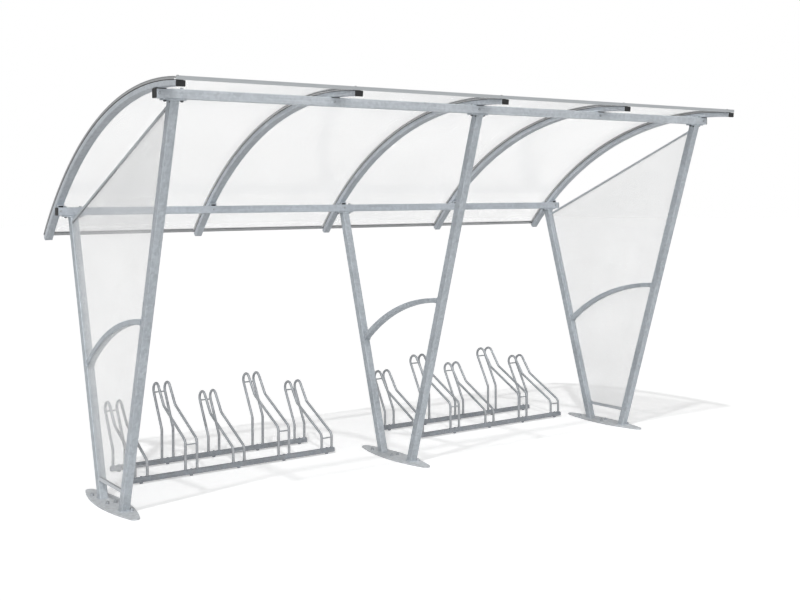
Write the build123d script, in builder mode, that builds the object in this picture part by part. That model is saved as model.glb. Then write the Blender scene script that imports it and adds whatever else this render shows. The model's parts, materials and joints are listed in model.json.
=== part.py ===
from build123d import *
import os
from math import acos, asin, cos, degrees, hypot, radians, sin, sqrt

os.makedirs("parts", exist_ok=True)

# Open shelter for parking bikes. X runs along it, Y towards its low rear side, Z up.
# The origin is on the ground, under the centre of the middle base plate.

# Frames: two legs that lean apart from one base plate, and an arched brace between them
frame_spacing = 2000.0
tube = 50.0
tube_wall = 3.0
tube_corner = 5.0
front_foot_y = -190.0
rear_foot_y = 136.0
front_beam_y = -900.0
rear_beam_y = 623.0
front_beam_underside = 2273.0
rear_beam_underside = 1662.0

plate_half_length = 380.0
plate_half_width = 82.0
plate_thickness = 10.0
plate_tip_radius = 28.0
anchor_hole = 14.0
anchor_end_spacing = 440.0
anchor_end_shift = 35.0
anchor_side_spacing = 48.0

head_length = 132.0
head_thickness = 8.0
head_corner = 6.0
head_bolt_spacing = 94.0
head_bolt_hole = 11.0

brace_centre_y = -561.0
brace_centre_z = -304.0
brace_radius = 1421.0
brace_start = 20.0
brace_turn = 90.0

# Bent box tube, used for the rafters and for the braces
box_width = 50.0
box_depth = 30.0
box_wall = 3.0
box_corner = 4.0

# Roof: it rests on the front beam and on saddles over the rear beam
roof_radius = 2356.0
roof_overhang = 75.0
roof_front_y = -1160.0
roof_rear_z = 1540.0
saddle_rise = 12.4
saddle_length = 16.0
saddle_width = 45.0
saddle_lap = 1.5
rafter_tail = 12.0

gasket_thickness = 4.0
sheet_thickness = 10.0
strip_cover = 2.0
strip_height = 5.0
strip_rib = 6.0
lip_width = 5.0
sheet_edge_gap = 2.0

trim_wall = 1.7
trim_depth = 20.0
fascia_height = 20.0
fascia_wall = 3.0
fascia_depth = 24.0

# Plastic end caps
cap_face = 5.0
cap_plug = 15.0
cap_plug_wall = 2.5

# Side panels of the two end frames
panel_thickness = 10.0
panel_inset = 5.0
panel_rail_height = 20.0
panel_rail_underside = 115.0
panel_rail_wall = 2.0
panel_top_drop = 24.0
panel_trim_height = 14.0

# Racks
rack_spacing = 337.0
rack_holders = 5
left_rack_x = -1003.0
right_rack_x = 1130.0
rack_front_y = 346.0
rack_rear_y = 716.0
rack_rail = 30.0
rack_rail_wall = 2.5
rack_rail_corner = 3.0
rack_rail_end = 56.0
rack_foot_height = 10.0
rack_foot_radius = 11.0
hoop_rod = 18.0
hoop_spacing = 80.0
hoop_lift = 90.0
cross_rod = 10.0

# Wheel holder hoop, low holder: heights above the ground along the bent rod
hoop_rear_bend_z = 145.0
hoop_rear_top = (866.0, 410.0)
hoop_front_top = (789.0, 453.0)
hoop_kink = (680.0, 307.0)
hoop_front_bend_z = 136.0
hoop_bend_radius = 43.0
cross_rod_drop = 26.0
cross_rod_rear_share = 0.86

# Clearances
fit = 0.3
seat = 0.2


def write(piece, name):
    piece.part.label = name
    export_step(piece.part, f"parts/{name}.step")


# The roof's arc has its centre where both beams carry the rafters at the same radius:
# the rear edge of the front beam's flat top touches them, and the rear beam's stays
# saddle_rise inside.
front_edge = (front_beam_y + tube / 2 - tube_corner, front_beam_underside + tube)
rear_edge = (rear_beam_y + tube / 2 - tube_corner, rear_beam_underside + tube)
edge_distance = hypot(rear_edge[0] - front_edge[0], rear_edge[1] - front_edge[1])
edge_y = (rear_edge[0] - front_edge[0]) / edge_distance
edge_z = (rear_edge[1] - front_edge[1]) / edge_distance
front_reach = roof_radius - seat
rear_reach = roof_radius - saddle_rise
along = (front_reach**2 - rear_reach**2 + edge_distance**2) / (2 * edge_distance)
below = sqrt(front_reach**2 - along**2)
roof_y = front_edge[0] + along * edge_y + below * edge_z
roof_z = front_edge[1] + along * edge_z - below * edge_y

# Radii of the roof's layers, from the rafters' underside out
rafter_outer = roof_radius + box_depth
sheet_inner = rafter_outer + gasket_thickness
sheet_outer = sheet_inner + sheet_thickness
strip_outer = sheet_outer + strip_height

# Angles of the roof's ends about the arc's centre, in degrees up from +Y
sheet_front = degrees(acos((roof_front_y - roof_y) / sheet_outer))
sheet_rear = degrees(asin((roof_rear_z - roof_z) / sheet_outer))
trim_turn = degrees(trim_depth / sheet_outer)
fascia_turn = degrees(fascia_depth / sheet_outer)
wall_turn = degrees(fascia_wall / sheet_outer)

rafter_spacing = (frame_spacing + roof_overhang) / 2
rafter_places = [step * rafter_spacing for step in (-2, -1, 0, 1, 2)]
roof_half_length = rafter_places[-1] + box_width / 2
frame_places = {"left": -frame_spacing, "middle": 0.0, "right": frame_spacing}


roof_centre = (roof_y, roof_z)
brace_centre = (brace_centre_y, brace_centre_z)


def arc_plane(x, centre, radius, angle):
    # Plane across an arc: its x runs along the shelter, its y points out of the arc
    y = centre[0] + radius * cos(radians(angle))
    z = centre[1] + radius * sin(radians(angle))
    tangent = (0, -sin(radians(angle)), cos(radians(angle)))
    return Plane(origin=(x, y, z), x_dir=(1, 0, 0), z_dir=tangent)


roof_axis = Axis((0, *roof_centre), (1, 0, 0))
brace_axis = Axis((0, *brace_centre), (1, 0, 0))

front_lean = (front_beam_y - front_foot_y) / front_beam_underside
rear_lean = (rear_beam_y - rear_foot_y) / rear_beam_underside


def front_leg_back(z):
    return front_foot_y + front_lean * z + tube / 2 * hypot(1, front_lean)


def rear_leg_front(z):
    return rear_foot_y + rear_lean * z - tube / 2 * hypot(1, rear_lean)


# Base plates: two arcs that meet in rounded tips
side_radius = (
    (plate_half_length - plate_tip_radius) ** 2 / (plate_half_width - plate_tip_radius)
    + plate_tip_radius
    + plate_half_width
) / 2
front_anchor = (anchor_end_shift, -anchor_end_spacing / 2)
rear_anchor = (-anchor_end_shift, anchor_end_spacing / 2)

for side, x in frame_places.items():
    with BuildPart() as base_plate:
        with BuildSketch():
            with Locations((x - side_radius + plate_half_width, 0)):
                Circle(side_radius)
            with Locations((x + side_radius - plate_half_width, 0)):
                Circle(side_radius, mode=Mode.INTERSECT)
            fillet(vertices(), plate_tip_radius)
            with Locations((x, 0)):
                with Locations(front_anchor, rear_anchor):
                    Circle(anchor_hole / 2, mode=Mode.SUBTRACT)
                with GridLocations(anchor_side_spacing, 0, 2, 1):
                    Circle(anchor_hole / 2, mode=Mode.SUBTRACT)
        extrude(amount=plate_thickness)
    write(base_plate, f"base_plate_{side}")


# Legs: square tube cut level at both ends, with a head plate welded under the beam
def make_leg(x, foot_y, beam_y, beam_underside):
    lean = (beam_y - foot_y) / beam_underside
    stretch = hypot(1, lean)
    bore = tube - 2 * tube_wall
    top = beam_underside - head_thickness
    with BuildPart() as leg:
        with BuildSketch(Plane.XY.offset(plate_thickness)):
            with Locations((x, foot_y + lean * plate_thickness)):
                RectangleRounded(tube, tube * stretch, tube_corner)
                Rectangle(bore, bore * stretch, mode=Mode.SUBTRACT)
        extrude(amount=(top - plate_thickness) * stretch, dir=(0, lean, 1))
        with BuildSketch(Plane.XY.offset(top)):
            with Locations((x, beam_y)):
                RectangleRounded(head_length, tube, head_corner)
                with GridLocations(head_bolt_spacing, 0, 2, 1):
                    Circle(head_bolt_hole / 2, mode=Mode.SUBTRACT)
        extrude(amount=head_thickness)
    return leg


for side, x in frame_places.items():
    write(make_leg(x, front_foot_y, front_beam_y, front_beam_underside), f"front_leg_{side}")
    write(make_leg(x, rear_foot_y, rear_beam_y, rear_beam_underside), f"rear_leg_{side}")


# Braces: bent box tube between the facing sides of the two legs
def leg_gap(low, high, clearance=0.0):
    # Corners of the space between the legs, from height low to height high
    return [
        (front_leg_back(low) + clearance, low),
        (rear_leg_front(low) - clearance, low),
        (rear_leg_front(high) - clearance, high),
        (front_leg_back(high) + clearance, high),
    ]


for side, x in frame_places.items():
    with BuildPart() as brace:
        with BuildSketch(arc_plane(x, brace_centre, brace_radius - box_depth / 2, brace_start)):
            RectangleRounded(box_width, box_depth, box_corner)
            Rectangle(box_width - 2 * box_wall, box_depth - 2 * box_wall, mode=Mode.SUBTRACT)
        revolve(axis=brace_axis, revolution_arc=brace_turn)
        with BuildSketch(Plane.YZ.offset(x)):
            with BuildLine():
                Polyline(leg_gap(plate_thickness, rear_beam_underside), close=True)
            make_face()
        extrude(amount=box_width, both=True, mode=Mode.INTERSECT)
    write(brace, f"brace_{side}")

# Beams: square tube, drilled for the bolts of the head plates
for name, y, underside in (
    ("front_beam", front_beam_y, front_beam_underside),
    ("rear_beam", rear_beam_y, rear_beam_underside),
):
    with BuildPart() as beam:
        with BuildSketch(Plane.YZ.offset(-roof_half_length)):
            with Locations((y, underside + tube / 2)):
                RectangleRounded(tube, tube, tube_corner)
                Rectangle(tube - 2 * tube_wall, tube - 2 * tube_wall, mode=Mode.SUBTRACT)
        extrude(amount=2 * roof_half_length)
        with BuildSketch(Plane.XY.offset(underside)):
            with Locations([(x, y) for x in frame_places.values()]):
                with GridLocations(head_bolt_spacing, 0, 2, 1):
                    Circle(head_bolt_hole / 2)
        extrude(amount=tube, mode=Mode.SUBTRACT)
    write(beam, name)

with BuildPart() as beam_end_caps:
    plug = tube - 2 * tube_wall - 2 * fit
    for y, underside in (
        (front_beam_y, front_beam_underside),
        (rear_beam_y, rear_beam_underside),
    ):
        for way in (-1, 1):
            middle = (way * roof_half_length, y, underside + tube / 2)
            end = Plane(origin=middle, x_dir=(0, 1, 0), z_dir=(way, 0, 0))
            with BuildSketch(end):
                RectangleRounded(tube, tube, tube_corner)
            extrude(amount=cap_face)
            with BuildSketch(end):
                Rectangle(plug, plug)
                Rectangle(plug - 2 * cap_plug_wall, plug - 2 * cap_plug_wall, mode=Mode.SUBTRACT)
            extrude(amount=-cap_plug)
write(beam_end_caps, "beam_end_caps")

# Rafters: bent box tube, closed at the rear tip, open for a cap at the front tip
rafter_names = ("left", "left_inner", "middle", "right_inner", "right")
tube_rear = sheet_rear - degrees(rafter_tail / rafter_outer)
tube_front = sheet_front + wall_turn - degrees(cap_face / roof_radius)
tube_middle = roof_radius + box_depth / 2
closing_turn = degrees(box_wall / tube_middle)

for side, x in zip(rafter_names, rafter_places):
    with BuildPart() as rafter:
        with BuildSketch(arc_plane(x, roof_centre, tube_middle, tube_rear)):
            RectangleRounded(box_width, box_depth, box_corner)
        revolve(axis=roof_axis, revolution_arc=tube_front - tube_rear)
        with BuildSketch(arc_plane(x, roof_centre, tube_middle, tube_rear + closing_turn)):
            Rectangle(box_width - 2 * box_wall, box_depth - 2 * box_wall)
        revolve(axis=roof_axis, revolution_arc=tube_front - tube_rear, mode=Mode.SUBTRACT)
    write(rafter, f"rafter_{side}")

with BuildPart() as rafter_end_caps:
    plug_width = box_width - 2 * box_wall - 2 * fit
    plug_depth = box_depth - 2 * box_wall - 2 * fit
    for x in rafter_places:
        tip = arc_plane(x, roof_centre, tube_middle, tube_front)
        with BuildSketch(tip):
            RectangleRounded(box_width, box_depth, box_corner)
        extrude(amount=cap_face)
        with BuildSketch(tip):
            Rectangle(plug_width, plug_depth)
            Rectangle(plug_width - 2 * cap_plug_wall, plug_depth - 2 * cap_plug_wall, mode=Mode.SUBTRACT)
        extrude(amount=-cap_plug)
write(rafter_end_caps, "rafter_end_caps")

# Saddles: pads at the rear edge of the rear beam's flat top. Each rafter's underside cuts
# saddle_lap off the rear edge of its pad.
saddle_top = roof_z + sqrt(roof_radius**2 - (rear_edge[0] - roof_y) ** 2) + saddle_lap

with BuildPart() as rafter_saddles:
    for x in rafter_places:
        with BuildSketch(Plane.YZ.offset(x)):
            with Locations(rear_edge):
                Rectangle(saddle_length, saddle_top - rear_edge[1], align=(Align.MAX, Align.MIN))
            with Locations(roof_centre):
                Circle(roof_radius - seat, mode=Mode.INTERSECT)
        extrude(amount=saddle_width / 2, both=True)
write(rafter_saddles, "rafter_saddles")

# Roof sheets lie on the gaskets, with their long edges under the glazing strips
sheet_names = ("left", "left_inner", "right_inner", "right")

for side, left, right in zip(sheet_names, rafter_places, rafter_places[1:]):
    rib_gap = strip_rib / 2 + sheet_edge_gap
    low = left + rib_gap if left > rafter_places[0] else -roof_half_length
    high = right - rib_gap if right < rafter_places[-1] else roof_half_length
    sheet_middle = sheet_inner + sheet_thickness / 2
    with BuildPart() as roof_sheet:
        with BuildSketch(arc_plane((low + high) / 2, roof_centre, sheet_middle, sheet_rear)):
            Rectangle(high - low, sheet_thickness)
        revolve(axis=roof_axis, revolution_arc=sheet_front - sheet_rear)
    write(roof_sheet, f"roof_sheet_{side}")

# Gaskets and glazing strips run between the rear trim and the front rail: a gasket under the
# sheets, two lips on them, and a flat strip on the lips, with a rib between two sheets
layer_rear = sheet_rear + trim_turn
layer_turn = sheet_front - fascia_turn - layer_rear
lip_place = (box_width - lip_width) / 2
lip_height = strip_height - strip_cover - 2 * seat

with BuildPart() as glazing_gaskets:
    for x in rafter_places:
        with BuildSketch(arc_plane(x, roof_centre, rafter_outer + seat, layer_rear)):
            Rectangle(box_width, gasket_thickness - 2 * seat, align=(Align.CENTER, Align.MIN))
        with BuildSketch(arc_plane(x, roof_centre, sheet_outer + seat, layer_rear)):
            with Locations((-lip_place, 0), (lip_place, 0)):
                Rectangle(lip_width, lip_height, align=(Align.CENTER, Align.MIN))
        revolve(axis=roof_axis, revolution_arc=layer_turn)
write(glazing_gaskets, "glazing_gaskets")

with BuildPart() as glazing_strips:
    for x in rafter_places:
        with BuildSketch(arc_plane(x, roof_centre, strip_outer, layer_rear)):
            Rectangle(box_width, strip_cover, align=(Align.CENTER, Align.MAX))
            if abs(x) < rafter_places[-1]:
                Rectangle(strip_rib, strip_outer - sheet_inner, align=(Align.CENTER, Align.MAX))
        revolve(axis=roof_axis, revolution_arc=layer_turn)
write(glazing_strips, "glazing_strips")

# The rail on the front edge and the trim on the rear edge both grip the sheets
with BuildPart() as fascia_rail:
    front = arc_plane(roof_half_length, roof_centre, sheet_inner + sheet_thickness / 2, sheet_front)
    profile = Plane(origin=front.origin, x_dir=front.z_dir, z_dir=(-1, 0, 0))
    with BuildSketch(profile):
        with Locations((fit, -sheet_thickness / 2 - fit - trim_wall)):
            Rectangle(fascia_wall, fascia_height, align=(Align.MIN, Align.MIN))
        for way in (-1, 1):
            with Locations((fit, way * (sheet_thickness + 2 * fit + trim_wall) / 2)):
                Rectangle(fascia_depth, trim_wall, align=(Align.MAX, Align.CENTER))
    extrude(amount=2 * roof_half_length)
write(fascia_rail, "fascia_rail")

with BuildPart() as eave_trim:
    rear = arc_plane(roof_half_length, roof_centre, sheet_inner + sheet_thickness / 2, sheet_rear)
    profile = Plane(origin=rear.origin, x_dir=rear.z_dir, z_dir=(-1, 0, 0))
    grip = sheet_thickness + 2 * fit
    with BuildSketch(profile):
        with Locations((-fit - trim_wall, 0)):
            Rectangle(trim_depth, grip + 2 * trim_wall, align=(Align.MIN, Align.CENTER))
        with Locations((-fit, 0)):
            Rectangle(trim_depth, grip, align=(Align.MIN, Align.CENTER), mode=Mode.SUBTRACT)
    extrude(amount=2 * roof_half_length)
write(eave_trim, "eave_trim")

# Side panels: twin-wall sheet between the legs, split by the brace
panel_low = panel_rail_underside + panel_rail_wall + fit
panel_rail_top = panel_rail_underside + panel_rail_height
rear_corner_z = rear_beam_underside - head_thickness - panel_top_drop
front_corner_z = front_beam_underside - head_thickness - panel_top_drop
rear_corner = (rear_leg_front(rear_corner_z), rear_corner_z)
front_corner = (front_leg_back(front_corner_z), front_corner_z)
rear_trim_z = rear_corner_z - panel_trim_height
front_trim_z = front_corner_z - panel_trim_height

for side, way in (("left", -1), ("right", 1)):
    x = frame_places[side] + way * (tube / 2 - panel_inset - panel_thickness / 2)
    outline = [
        (front_leg_back(panel_low) + fit, panel_low),
        (rear_leg_front(panel_low) - fit, panel_low),
        (rear_corner[0] - fit, rear_corner[1]),
        (front_corner[0] + fit, front_corner[1]),
    ]
    with BuildPart() as lower_panel:
        with BuildSketch(Plane.YZ.offset(x)):
            with BuildLine():
                Polyline(outline, close=True)
            make_face()
            with Locations(brace_centre):
                Circle(brace_radius - box_depth - fit, mode=Mode.INTERSECT)
        extrude(amount=panel_thickness / 2, both=True)
    write(lower_panel, f"lower_panel_{side}")
    with BuildPart() as upper_panel:
        with BuildSketch(Plane.YZ.offset(x)):
            with BuildLine():
                Polyline(outline, close=True)
            make_face()
            with Locations(brace_centre):
                Circle(brace_radius + fit, mode=Mode.SUBTRACT)
        extrude(amount=panel_thickness / 2, both=True)
    write(upper_panel, f"upper_panel_{side}")

    grip = panel_thickness + 2 * fit
    with BuildPart() as panel_trim:
        with BuildSketch(Plane.YZ.offset(x)):
            with BuildLine():
                Polyline(
                    front_corner,
                    rear_corner,
                    (rear_leg_front(rear_trim_z), rear_trim_z),
                    (front_leg_back(front_trim_z), front_trim_z),
                    close=True,
                )
            make_face()
        extrude(amount=grip / 2 + trim_wall, both=True)
        with BuildSketch(Plane.YZ.offset(x)):
            with BuildLine():
                Polyline(outline, close=True)
            make_face()
        extrude(amount=grip / 2, both=True, mode=Mode.SUBTRACT)
    with BuildPart() as panel_rail:
        with BuildSketch(Plane.YZ.offset(x)):
            with BuildLine():
                Polyline(leg_gap(panel_rail_underside, panel_rail_top), close=True)
            make_face()
        extrude(amount=grip / 2 + panel_rail_wall, both=True)
        with BuildSketch(Plane.YZ.offset(x)):
            with BuildLine():
                Polyline(leg_gap(panel_low - fit, panel_rail_top), close=True)
            make_face()
        extrude(amount=grip / 2, both=True, mode=Mode.SUBTRACT)
    write(panel_trim, f"panel_trim_{side}")
    write(panel_rail, f"panel_rail_{side}")

# Racks: two rails on short feet, and wheel holders in turn low and high
rail_underside = rack_foot_height
rail_top = rail_underside + rack_rail
rail_bore = rack_rail - 2 * rack_rail_wall


def holder_places(rack_x):
    first = rack_x - rack_spacing * (rack_holders - 1) / 2
    return [first + rack_spacing * number for number in range(rack_holders)]


def make_hoop(x, lift):
    # One bent rod: up from the rear rail, round at the top, down forwards to the front rail
    with BuildPart(mode=Mode.PRIVATE) as hoop:
        with BuildLine() as route:
            FilletPolyline(
                (x, rack_rear_y, rail_top),
                (x, rack_rear_y, hoop_rear_bend_z + lift),
                (x, hoop_rear_top[0], hoop_rear_top[1] + lift),
                (x, hoop_front_top[0], hoop_front_top[1] + lift),
                (x, hoop_kink[0], hoop_kink[1] + lift),
                (x, rack_front_y, hoop_front_bend_z + lift),
                (x, rack_front_y, rail_top),
                radius=hoop_bend_radius,
            )
        with BuildSketch(Plane.XY.offset(rail_top)):
            with Locations((x, rack_rear_y)):
                Circle(hoop_rod / 2)
        sweep(path=route.line)
    return hoop


racks = (("left", holder_places(left_rack_x)), ("right", holder_places(right_rack_x)))

for rack, places in racks:
    with BuildPart() as rack_rails:
        for y in (rack_front_y, rack_rear_y):
            with BuildSketch(Plane.YZ.offset(places[0] - rack_rail_end)):
                with Locations((y, rail_underside + rack_rail / 2)):
                    RectangleRounded(rack_rail, rack_rail, rack_rail_corner)
                    Rectangle(rail_bore, rail_bore, mode=Mode.SUBTRACT)
            extrude(amount=places[-1] - places[0] + 2 * rack_rail_end)
            with BuildSketch():
                with Locations([(x, y) for x in places]):
                    Circle(rack_foot_radius)
            extrude(amount=rack_foot_height)
    write(rack_rails, f"{rack}_rack_rails")
    for height, lift, first in (("low", 0.0, 0), ("high", hoop_lift, 1)):
        with BuildPart() as hoops:
            for x in places[first::2]:
                for way in (-1, 1):
                    add(make_hoop(x + way * hoop_spacing / 2, lift).part)
        write(hoops, f"{rack}_rack_{height}_hoops")

# Short rods that join the two hoops of each holder, behind the top and at the front bend
with BuildPart() as cross_rods:
    rear_y = rack_rear_y + cross_rod_rear_share * (hoop_rear_top[0] - rack_rear_y)
    rear_z = hoop_rear_bend_z + cross_rod_rear_share * (hoop_rear_top[1] - hoop_rear_bend_z)
    front_z = hoop_front_bend_z - cross_rod_drop
    for rack, places in racks:
        for number, x in enumerate(places):
            lift = hoop_lift * (number % 2)
            with BuildSketch(Plane.YZ.offset(x)):
                with Locations((rear_y, rear_z + lift), (rack_front_y, front_z + lift)):
                    Circle(cross_rod / 2)
            extrude(amount=(hoop_spacing - hoop_rod) / 2, both=True)
write(cross_rods, "rack_cross_rods")
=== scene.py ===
import json
import math
import bmesh
import bpy
import numpy as np
from mathutils import Matrix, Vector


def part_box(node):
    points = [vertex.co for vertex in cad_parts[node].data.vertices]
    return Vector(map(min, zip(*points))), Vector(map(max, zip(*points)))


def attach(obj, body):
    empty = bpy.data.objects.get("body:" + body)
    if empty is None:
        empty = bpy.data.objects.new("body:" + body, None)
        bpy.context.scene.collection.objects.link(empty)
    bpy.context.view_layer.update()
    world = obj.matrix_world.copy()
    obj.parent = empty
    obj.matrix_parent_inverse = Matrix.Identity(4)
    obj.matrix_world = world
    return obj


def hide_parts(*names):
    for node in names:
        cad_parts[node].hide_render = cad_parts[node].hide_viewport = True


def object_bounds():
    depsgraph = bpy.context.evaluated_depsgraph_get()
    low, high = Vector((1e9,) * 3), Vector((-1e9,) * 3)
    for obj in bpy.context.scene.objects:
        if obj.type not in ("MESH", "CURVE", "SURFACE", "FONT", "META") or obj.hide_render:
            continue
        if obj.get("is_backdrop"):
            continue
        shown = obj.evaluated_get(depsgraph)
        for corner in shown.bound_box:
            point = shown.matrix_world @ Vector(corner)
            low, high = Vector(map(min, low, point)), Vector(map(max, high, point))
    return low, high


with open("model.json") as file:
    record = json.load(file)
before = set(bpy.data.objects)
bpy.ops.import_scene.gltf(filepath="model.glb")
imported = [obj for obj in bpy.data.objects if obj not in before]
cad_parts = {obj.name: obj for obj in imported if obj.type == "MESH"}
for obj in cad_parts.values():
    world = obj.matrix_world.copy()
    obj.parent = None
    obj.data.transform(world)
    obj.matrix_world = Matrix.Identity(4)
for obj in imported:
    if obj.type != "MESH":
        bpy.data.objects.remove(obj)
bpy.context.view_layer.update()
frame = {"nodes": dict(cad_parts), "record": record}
nodes = frame["nodes"]
scene = bpy.context.scene
print("packed model loaded:", len(nodes), "nodes")


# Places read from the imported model, in metres

def corners(node):
    low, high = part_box(node)
    return np.array(low), np.array(high)


def meshPoints(node):
    mesh = nodes[node].data
    points = np.empty(len(mesh.vertices) * 3)
    mesh.vertices.foreach_get("co", points)
    return points.reshape(-1, 3)


def circleThrough(y, z):
    # Centre and radius that fit y squared + z squared = 2 a y + 2 b z + c best
    equations = np.stack([2 * y, 2 * z, np.ones_like(y)], 1)
    a, b, c = np.linalg.lstsq(equations, y ** 2 + z ** 2, rcond=None)[0]
    return a, b, math.sqrt(c + a * a + b * b)


stripPoints = meshPoints("glazing_strips")
roughY, roughZ, _ = circleThrough(stripPoints[:, 1], stripPoints[:, 2])
reach = np.hypot(stripPoints[:, 1] - roughY, stripPoints[:, 2] - roughZ)
topPoints = stripPoints[reach > np.percentile(reach, 60)]
roofY, roofZ, stripRadius = circleThrough(topPoints[:, 1], topPoints[:, 2])
stripAngles = np.arctan2(topPoints[:, 2] - roofZ, topPoints[:, 1] - roofY)
stripRear, stripFront = stripAngles.min(), stripAngles.max()

frontBeam = corners("front_beam")
rearBeam = corners("rear_beam")
tubeSize = frontBeam[1][2] - frontBeam[0][2]
plateTop = corners("base_plate_middle")[1][2]
frameX = np.array([corners(f"base_plate_{side}") for side in ("left", "middle", "right")]).mean(1)[:, 0]
rafterPlaces = ("left", "left_inner", "middle", "right_inner", "right")
rafterX = np.array([corners(f"rafter_{place}") for place in rafterPlaces]).mean(1)[:, 0]
rafterStep = float(rafterX[-1] - rafterX[0]) / (len(rafterX) - 1)
rafterHalf = 0.025  # of the rafters' width
tubeHalf = tubeSize / 2
beamY = {
    "front": (frontBeam[0][1] + frontBeam[1][1]) / 2,
    "rear": (rearBeam[0][1] + rearBeam[1][1]) / 2,
}
beamUnderside = {"front": frontBeam[0][2], "rear": rearBeam[0][2]}
headThickness = 0.008  # of the plates on the leg tops
up = np.array([0.0, 0.0, 1.0])
alongX = np.array([1.0, 0.0, 0.0])


def legFoot(which):
    # Middle of the leg's foot on the plate, along Y
    points = meshPoints(f"{which}_leg_middle")
    foot = points[points[:, 2] < plateTop + 0.001]
    return (foot[:, 1].min() + foot[:, 1].max()) / 2


legFootY = {which: legFoot(which) for which in beamY}
# Run of the legs along Y for each metre of height
legLean = {which: (beamY[which] - legFootY[which]) / (beamUnderside[which] - plateTop) for which in beamY}


# Meshes from grids of points

def gridQuads(rows, columns, closedColumns):
    # Corner numbers of each cell; where closed, the last column is joined to the first
    lastColumn = columns if closedColumns else columns - 1
    row, column = np.meshgrid(np.arange(rows - 1), np.arange(lastColumn), indexing="ij")
    nextColumn = (column + 1) % columns
    cells = [row * columns + column, row * columns + nextColumn]
    cells += [(row + 1) * columns + nextColumn, (row + 1) * columns + column]
    return np.stack(cells, -1).reshape(-1, 4)


def makePiece(name, grids, material, sharpAngle=38.0):
    # One mesh from arrays of grids (copies, rows, columns, 3), seams and poles merged, faces outwards
    points, quads, start = [], [], 0
    for grid in grids:
        stack = grid.reshape(-1, *grid.shape[-3:])
        copies, rows, columns, _ = stack.shape
        offsets = start + np.arange(copies) * rows * columns
        cells = gridQuads(rows, columns, True)
        quads.append((cells[None] + offsets[:, None, None]).reshape(-1, 4))
        points.append(stack.reshape(-1, 3))
        start += copies * rows * columns
    mesh = bpy.data.meshes.new(name)
    mesh.from_pydata(np.concatenate(points), [], np.concatenate(quads))
    shell = bmesh.new()
    shell.from_mesh(mesh)
    bmesh.ops.remove_doubles(shell, verts=shell.verts, dist=1e-6)
    bmesh.ops.recalc_face_normals(shell, faces=shell.faces)
    shell.to_mesh(mesh)
    shell.free()
    mesh.shade_smooth()
    mesh.set_sharp_from_angle(angle=math.radians(sharpAngle))
    mesh.materials.append(material)
    piece = bpy.data.objects.new(name, mesh)
    scene.collection.objects.link(piece)
    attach(piece, "root")
    return piece


def placeCopies(grid, origins, zAxes, xAxes):
    # Each copy stands at its origin, with the grid's z along zAxes and its x near xAxes
    origins = np.atleast_2d(np.asarray(origins, float))
    zAxes = np.broadcast_to(np.asarray(zAxes, float), origins.shape)
    xAxes = np.broadcast_to(np.asarray(xAxes, float), origins.shape)
    zAxes = zAxes / np.linalg.norm(zAxes, axis=1, keepdims=True)
    yAxes = np.cross(zAxes, xAxes)
    yAxes = yAxes / np.linalg.norm(yAxes, axis=1, keepdims=True)
    axes = np.stack([np.cross(yAxes, zAxes), yAxes, zAxes], 1)
    return np.einsum("rcj,kjx->krcx", grid, axes) + origins[:, None, None, :]


def turnedGrid(rows, sides=24):
    # Rings of (corner radius, height, share of hexagon): a ring's radius is the corner radius
    # times a mix of 1, a circle, and cos 30 over the cosine of the angle from the nearest flat
    rows = np.array(rows, float)
    turn = np.arange(sides) * 2 * math.pi / sides
    fromFlat = (turn + math.pi / 6) % (math.pi / 3) - math.pi / 6
    hexagon = math.cos(math.pi / 6) / np.cos(fromFlat)
    radius = rows[:, :1] * (1 - rows[:, 2:] + rows[:, 2:] * hexagon)
    height = np.broadcast_to(rows[:, 1:2], radius.shape)
    return np.stack([radius * np.cos(turn), radius * np.sin(turn), height], -1)


def threadGrid(radius, depth, pitch, bottom, top, tipShare=0.82, sides=18):
    # Rings up the stud, whose radius falls by depth times a saw wave of height over pitch less the turn;
    # the tip narrows to tipShare of the radius and is closed
    turn = np.arange(sides) * 2 * math.pi / sides
    height = np.arange(bottom, top, pitch / 5)
    wave = np.abs((height[:, None] / pitch - turn / (2 * math.pi)) % 1 - 0.5) * 2
    tipRings = np.array([[radius * tipShare], [0.0]]) * np.ones(sides)
    rings = np.concatenate([radius - depth * wave, tipRings])
    height = np.broadcast_to(np.append(height, [top, top])[:, None], rings.shape)
    return np.stack([rings * np.cos(turn), rings * np.sin(turn), height], -1)


def roundedOutline(halfA, halfB, corner, count):
    # Evenly spaced points round a rectangle with round corners, and the directions out from it
    quarter = np.linspace(0, math.pi / 2, 9)
    angles = np.concatenate([quarter + turn * math.pi / 2 for turn in range(4)])
    signA = np.repeat([1, -1, -1, 1], len(quarter))
    signB = np.repeat([1, 1, -1, -1], len(quarter))
    a = signA * (halfA - corner) + corner * np.cos(angles)
    b = signB * (halfB - corner) + corner * np.sin(angles)
    a, b, angles = np.append(a, a[0]), np.append(b, b[0]), np.append(angles, 2 * math.pi)
    length = np.concatenate([[0], np.cumsum(np.hypot(np.diff(a), np.diff(b)))])
    places = np.arange(count) * length[-1] / count
    a, b, angles = (np.interp(places, length, values) for values in (a, b, angles))
    return np.stack([a, b], 1), np.stack([np.cos(angles), np.sin(angles)], 1), length[-1]


# Shader groups, each built once: they give colours, masks and heights only

def newGroup(name, inputs, outputs):
    group = bpy.data.node_groups.new(name, "ShaderNodeTree")
    for socketName, kind, value in inputs:
        socket = group.interface.new_socket(socketName, in_out="INPUT", socket_type="NodeSocket" + kind)
        if value is not None:
            socket.default_value = value
    for socketName, kind in outputs:
        group.interface.new_socket(socketName, in_out="OUTPUT", socket_type="NodeSocket" + kind)
    return group, group.nodes.new("NodeGroupInput").outputs, group.nodes.new("NodeGroupOutput")


def setSocket(tree, socket, value):
    # What another node puts out is linked to the socket; a number or colour is set on it
    if isinstance(value, bpy.types.NodeSocket):
        tree.links.new(value, socket)
    else:
        socket.default_value = value


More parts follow.
